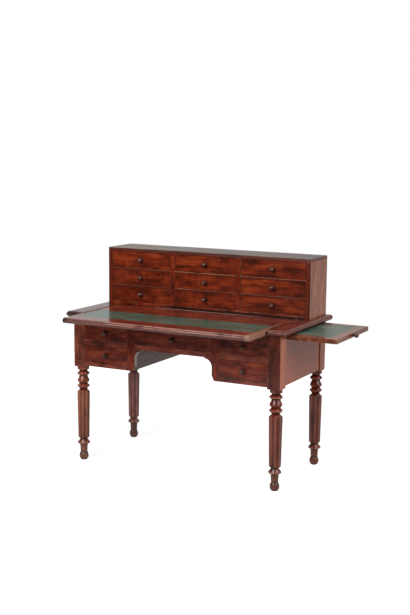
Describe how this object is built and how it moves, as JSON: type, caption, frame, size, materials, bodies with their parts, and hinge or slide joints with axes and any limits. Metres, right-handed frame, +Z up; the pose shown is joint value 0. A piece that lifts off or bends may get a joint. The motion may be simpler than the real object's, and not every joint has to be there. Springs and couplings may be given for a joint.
{
  "type": "captain's desk",
  "caption": "Mahogany captain's desk: leather-topped writing slab drawing out under a gallery of small drawers, apron drawers round a kneehole, end slides, turned fluted legs.",
  "frame": {"origin": "on the floor, under the middle of the apron's width and depth", "axes": "+X to the sitter's right, +Y towards the back of the desk, +Z up"},
  "size_m": [1.422, 0.757, 1.052],
  "materials": {
    "mahogany": "polished red-brown mahogany with dark figure",
    "dark_knob_wood": "turned dark wood, polished",
    "green_leather": "dark green skiver, waxed",
    "inner_wood": "plain mahogany, thinly finished"
  },
  "bodies": {
    "desk_frame": {"leg_front_left": "mahogany", "leg_front_right": "mahogany", "leg_back_left": "mahogany", "leg_back_right": "mahogany", "side_panel_left": "mahogany", "side_panel_right": "mahogany", "back_panel": "mahogany", "front_top_rail": "mahogany", "front_rails": "mahogany", "front_stiles": "mahogany", "kneehole_brackets": "mahogany", "kneehole_panels": "mahogany", "drawer_runners": "inner_wood", "slide_guides": "inner_wood", "top_end_left": "mahogany", "top_end_right": "mahogany", "top_back_rail": "mahogany", "gallery_side_left": "mahogany", "gallery_side_right": "mahogany", "gallery_top": "mahogany", "gallery_bottom": "mahogany", "gallery_back": "mahogany", "gallery_dividers": "mahogany", "gallery_shelves": "inner_wood"},
    "writing_slide": {"writing_slab": "mahogany", "writing_leather": "green_leather"},
    "left_slide": {"side_slide_left": "mahogany", "slide_leather_left": "green_leather", "slide_knob_left": "dark_knob_wood"},
    "right_slide": {"side_slide_right": "mahogany", "slide_leather_right": "green_leather", "slide_knob_right": "dark_knob_wood"},
    "gallery_drawer_low_left_body": {"gallery_drawer_low_left": "mahogany", "gallery_drawer_low_left_knob": "dark_knob_wood"},
    "gallery_drawer_mid_left_body": {"gallery_drawer_mid_left": "mahogany", "gallery_drawer_mid_left_knob": "dark_knob_wood"},
    "gallery_drawer_high_left_body": {"gallery_drawer_high_left": "mahogany", "gallery_drawer_high_left_knob": "dark_knob_wood"},
    "gallery_drawer_low_middle_body": {"gallery_drawer_low_middle": "mahogany", "gallery_drawer_low_middle_knob": "dark_knob_wood"},
    "gallery_drawer_mid_middle_body": {"gallery_drawer_mid_middle": "mahogany", "gallery_drawer_mid_middle_knob": "dark_knob_wood"},
    "gallery_drawer_high_middle_body": {"gallery_drawer_high_middle": "mahogany", "gallery_drawer_high_middle_knob": "dark_knob_wood"},
    "gallery_drawer_low_right_body": {"gallery_drawer_low_right": "mahogany", "gallery_drawer_low_right_knob": "dark_knob_wood"},
    "gallery_drawer_mid_right_body": {"gallery_drawer_mid_right": "mahogany", "gallery_drawer_mid_right_knob": "dark_knob_wood"},
    "gallery_drawer_high_right_body": {"gallery_drawer_high_right": "mahogany", "gallery_drawer_high_right_knob": "dark_knob_wood"},
    "drawer_upper_left_body": {"drawer_upper_left": "mahogany", "drawer_upper_left_knob": "dark_knob_wood"},
    "drawer_lower_left_body": {"drawer_lower_left": "mahogany", "drawer_lower_left_knob": "dark_knob_wood"},
    "drawer_upper_right_body": {"drawer_upper_right": "mahogany", "drawer_upper_right_knob": "dark_knob_wood"},
    "drawer_lower_right_body": {"drawer_lower_right": "mahogany", "drawer_lower_right_knob": "dark_knob_wood"},
    "drawer_middle_body": {"drawer_middle": "mahogany", "drawer_middle_knob": "dark_knob_wood"}
  },
  "joints": [
    {"name": "writing_slide_draw", "type": "slide", "parent": "desk_frame", "child": "writing_slide", "axis": [0, -1, 0], "range_m": [-0.18, 0.012]},
    {"name": "left_slide_draw", "type": "slide", "parent": "desk_frame", "child": "left_slide", "axis": [-1, 0, 0], "range_m": [0, 0.343]},
    {"name": "right_slide_draw", "type": "slide", "parent": "desk_frame", "child": "right_slide", "axis": [1, 0, 0], "range_m": [-0.243, 0.1]},
    {"name": "gallery_drawer_low_left_pull", "type": "slide", "parent": "desk_frame", "child": "gallery_drawer_low_left_body", "axis": [0, -1, 0], "range_m": [0, 0.14]},
    {"name": "gallery_drawer_mid_left_pull", "type": "slide", "parent": "desk_frame", "child": "gallery_drawer_mid_left_body", "axis": [0, -1, 0], "range_m": [0, 0.14]},
    {"name": "gallery_drawer_high_left_pull", "type": "slide", "parent": "desk_frame", "child": "gallery_drawer_high_left_body", "axis": [0, -1, 0], "range_m": [0, 0.14]},
    {"name": "gallery_drawer_low_middle_pull", "type": "slide", "parent": "desk_frame", "child": "gallery_drawer_low_middle_body", "axis": [0, -1, 0], "range_m": [0, 0.14]},
    {"name": "gallery_drawer_mid_middle_pull", "type": "slide", "parent": "desk_frame", "child": "gallery_drawer_mid_middle_body", "axis": [0, -1, 0], "range_m": [0, 0.14]},
    {"name": "gallery_drawer_high_middle_pull", "type": "slide", "parent": "desk_frame", "child": "gallery_drawer_high_middle_body", "axis": [0, -1, 0], "range_m": [0, 0.14]},
    {"name": "gallery_drawer_low_right_pull", "type": "slide", "parent": "desk_frame", "child": "gallery_drawer_low_right_body", "axis": [0, -1, 0], "range_m": [0, 0.14]},
    {"name": "gallery_drawer_mid_right_pull", "type": "slide", "parent": "desk_frame", "child": "gallery_drawer_mid_right_body", "axis": [0, -1, 0], "range_m": [0, 0.14]},
    {"name": "gallery_drawer_high_right_pull", "type": "slide", "parent": "desk_frame", "child": "gallery_drawer_high_right_body", "axis": [0, -1, 0], "range_m": [0, 0.14]},
    {"name": "drawer_upper_left_pull", "type": "slide", "parent": "desk_frame", "child": "drawer_upper_left_body", "axis": [0, -1, 0], "range_m": [0, 0.33]},
    {"name": "drawer_lower_left_pull", "type": "slide", "parent": "desk_frame", "child": "drawer_lower_left_body", "axis": [0, -1, 0], "range_m": [0, 0.33]},
    {"name": "drawer_upper_right_pull", "type": "slide", "parent": "desk_frame", "child": "drawer_upper_right_body", "axis": [0, -1, 0], "range_m": [0, 0.33]},
    {"name": "drawer_lower_right_pull", "type": "slide", "parent": "desk_frame", "child": "drawer_lower_right_body", "axis": [0, -1, 0], "range_m": [0, 0.33]},
    {"name": "drawer_middle_pull", "type": "slide", "parent": "desk_frame", "child": "drawer_middle_body", "axis": [0, -1, 0], "range_m": [0, 0.33]}
  ]
}
